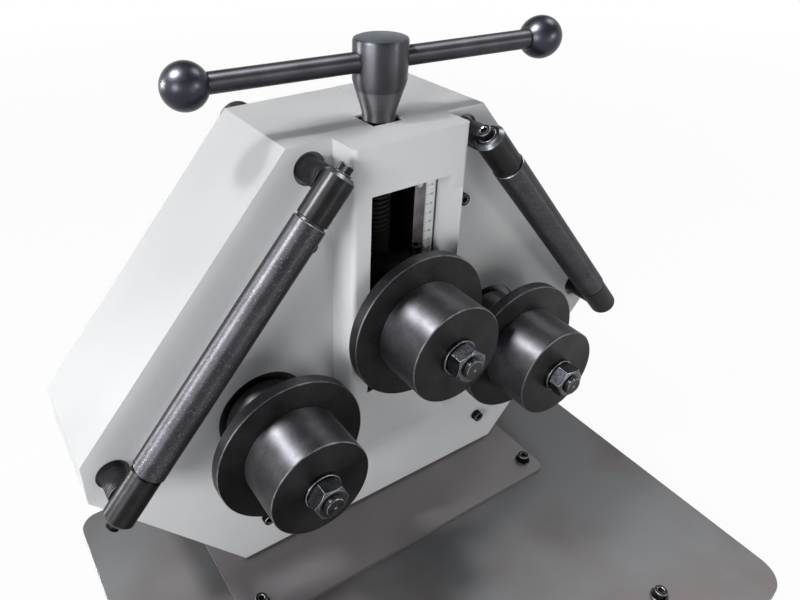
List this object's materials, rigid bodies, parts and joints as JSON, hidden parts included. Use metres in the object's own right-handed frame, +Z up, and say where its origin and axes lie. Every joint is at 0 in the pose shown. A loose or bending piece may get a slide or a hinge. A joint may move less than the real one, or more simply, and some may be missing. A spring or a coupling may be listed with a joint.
{
  "type": "ring roller",
  "caption": "Three-roller section and ring bending machine on a table plate, with a T-handle spindle, side guide rollers and a rear hand crank.",
  "frame": {"origin": "on the underside of the table plate, below the middle of the cover's front face", "axes": "+X to the right across the machine, +Y from the front to the rear along the shafts, +Z up"},
  "size_m": [0.635, 0.5659, 0.553],
  "materials": {
    "light grey powder coat": "satin, fine texture",
    "grey plate steel": "dull grey",
    "ground plate steel": "dull face, bright ground edges",
    "frame steel": "machined, oiled",
    "black oxide steel": "blackened, oiled, satin",
    "blackened tool steel": "ground and blackened",
    "turned steel": "turned bright",
    "bright screws": "zinc plated",
    "black screws": "black oxide",
    "bearing bronze": "turned",
    "scale white": "printed aluminium strip",
    "crank steel": "black enamel",
    "black knob plastic": "moulded, smooth"
  },
  "bodies": {
    "frame": {"table_plate": "grey plate steel", "base_plate": "ground plate steel", "plate_screws": "black screws", "cover": "light grey powder coat", "cover_screws": "black screws", "top_strip": "light grey powder coat", "front_plate": "frame steel", "rear_plate": "frame steel", "tie_bars": "frame steel", "frame_screws": "black screws", "slide_strips": "blackened tool steel", "strip_screws": "bright screws", "scale_strip": "scale white", "spindle_bracket": "frame steel", "spindle_nut": "bearing bronze", "shaft_bushes": "bearing bronze"},
    "carriage": {"carriage": "blackened tool steel", "front_keeper": "blackened tool steel", "rear_keeper": "blackened tool steel", "carriage_screws": "black screws", "upper_bushes": "bearing bronze", "spindle_retainer": "blackened tool steel"},
    "upper_roller": {"upper_shaft": "turned steel", "upper_rear_ring": "black oxide steel", "upper_flange_ring": "black oxide steel", "upper_front_ring": "black oxide steel", "upper_fasteners": "black screws"},
    "spindle": {"spindle": "turned steel", "handle_hub": "black oxide steel", "tommy_bar": "black oxide steel", "handle_balls": "black knob plastic"},
    "drive": {"drive_shaft": "turned steel", "drive_pinion": "turned steel", "crank_arm": "crank steel", "crank_fasteners": "black screws"},
    "crank_grip": {"crank_grip": "black knob plastic"},
    "lower_left_roller": {"lower_left_shaft": "turned steel", "lower_left_rear_ring": "black oxide steel", "lower_left_flange_ring": "black oxide steel", "lower_left_front_ring": "black oxide steel", "lower_left_fasteners": "black screws", "lower_left_gear": "turned steel"},
    "lower_right_roller": {"lower_right_shaft": "turned steel", "lower_right_rear_ring": "black oxide steel", "lower_right_flange_ring": "black oxide steel", "lower_right_front_ring": "black oxide steel", "lower_right_fasteners": "black screws", "lower_right_gear": "turned steel"},
    "guide_left": {"guide_left_axle": "black screws", "guide_left_blocks": "black oxide steel", "guide_left_rods": "black oxide steel"},
    "guide_left_roller": {"guide_left_sleeve": "black oxide steel"},
    "guide_left_upper_knob": {"guide_left_upper_knob": "black oxide steel"},
    "guide_left_lower_knob": {"guide_left_lower_knob": "black oxide steel"},
    "guide_right": {"guide_right_axle": "black screws", "guide_right_blocks": "black oxide steel", "guide_right_rods": "black oxide steel"},
    "guide_right_roller": {"guide_right_sleeve": "black oxide steel"},
    "guide_right_upper_knob": {"guide_right_upper_knob": "black oxide steel"},
    "guide_right_lower_knob": {"guide_right_lower_knob": "black oxide steel"}
  },
  "joints": [
    {"name": "lower_left_spin", "type": "hinge", "parent": "frame", "child": "lower_left_roller", "pos_m": [-0.1425, 0, 0.2135], "axis": [0, 1, 0], "continuous": true},
    {"name": "lower_right_spin", "type": "hinge", "parent": "frame", "child": "lower_right_roller", "pos_m": [0.1425, 0, 0.2135], "axis": [0, 1, 0], "continuous": true},
    {"name": "crank_spin", "type": "hinge", "parent": "frame", "child": "drive", "pos_m": [0, 0, 0.17353], "axis": [0, 1, 0], "continuous": true},
    {"name": "grip_spin", "type": "hinge", "parent": "drive", "child": "crank_grip", "pos_m": [0, 0.1463, 0.06153], "axis": [0, 1, 0], "continuous": true},
    {"name": "carriage_slide", "type": "slide", "parent": "frame", "child": "carriage", "axis": [0, 0, 1], "range_m": [-0.0071, 0.0701]},
    {"name": "spindle_turn", "type": "hinge", "parent": "carriage", "child": "spindle", "pos_m": [0, 0.0205, 0.334], "axis": [0, 0, 1], "range_deg": [-512, 5048]},
    {"name": "upper_spin", "type": "hinge", "parent": "carriage", "child": "upper_roller", "pos_m": [0, 0, 0.2975], "axis": [0, 1, 0], "continuous": true},
    {"name": "guide_left_slide", "type": "slide", "parent": "frame", "child": "guide_left", "axis": [0, -1, 0], "range_m": [-0.018, 0.018]},
    {"name": "guide_left_spin", "type": "hinge", "parent": "guide_left", "child": "guide_left_roller", "pos_m": [-0.18775, -0.039, 0.33625], "axis": [0.6474, 0, 0.7621], "continuous": true},
    {"name": "guide_left_upper_knob_turn", "type": "hinge", "parent": "frame", "child": "guide_left_upper_knob", "pos_m": [-0.0845, 0.1203, 0.4578], "axis": [0, -1, 0], "range_deg": [-2161, 2161]},
    {"name": "guide_left_lower_knob_turn", "type": "hinge", "parent": "frame", "child": "guide_left_lower_knob", "pos_m": [-0.291, 0.1203, 0.2147], "axis": [0, -1, 0], "range_deg": [-2161, 2161]},
    {"name": "guide_right_slide", "type": "slide", "parent": "frame", "child": "guide_right", "axis": [0, -1, 0], "range_m": [-0.018, 0.018]},
    {"name": "guide_right_spin", "type": "hinge", "parent": "guide_right", "child": "guide_right_roller", "pos_m": [0.18775, -0.039, 0.33625], "axis": [-0.6474, 0, 0.7621], "continuous": true},
    {"name": "guide_right_upper_knob_turn", "type": "hinge", "parent": "frame", "child": "guide_right_upper_knob", "pos_m": [0.0845, 0.1203, 0.4578], "axis": [0, -1, 0], "range_deg": [-2161, 2161]},
    {"name": "guide_right_lower_knob_turn", "type": "hinge", "parent": "frame", "child": "guide_right_lower_knob", "pos_m": [0.291, 0.1203, 0.2147], "axis": [0, -1, 0], "range_deg": [-2161, 2161]}
  ],
  "couplings": [
    {"joint": "lower_right_spin", "follows": "lower_left_spin", "ratio": 1},
    {"joint": "crank_spin", "follows": "lower_left_spin", "ratio": -2.0833},
    {"joint": "spindle_turn", "follows": "carriage_slide", "rad_per_m": 1256.6},
    {"joint": "guide_left_upper_knob_turn", "follows": "guide_left_slide", "rad_per_m": 2094.4},
    {"joint": "guide_left_lower_knob_turn", "follows": "guide_left_slide", "rad_per_m": 2094.4},
    {"joint": "guide_right_upper_knob_turn", "follows": "guide_right_slide", "rad_per_m": 2094.4},
    {"joint": "guide_right_lower_knob_turn", "follows": "guide_right_slide", "rad_per_m": 2094.4}
  ]
}
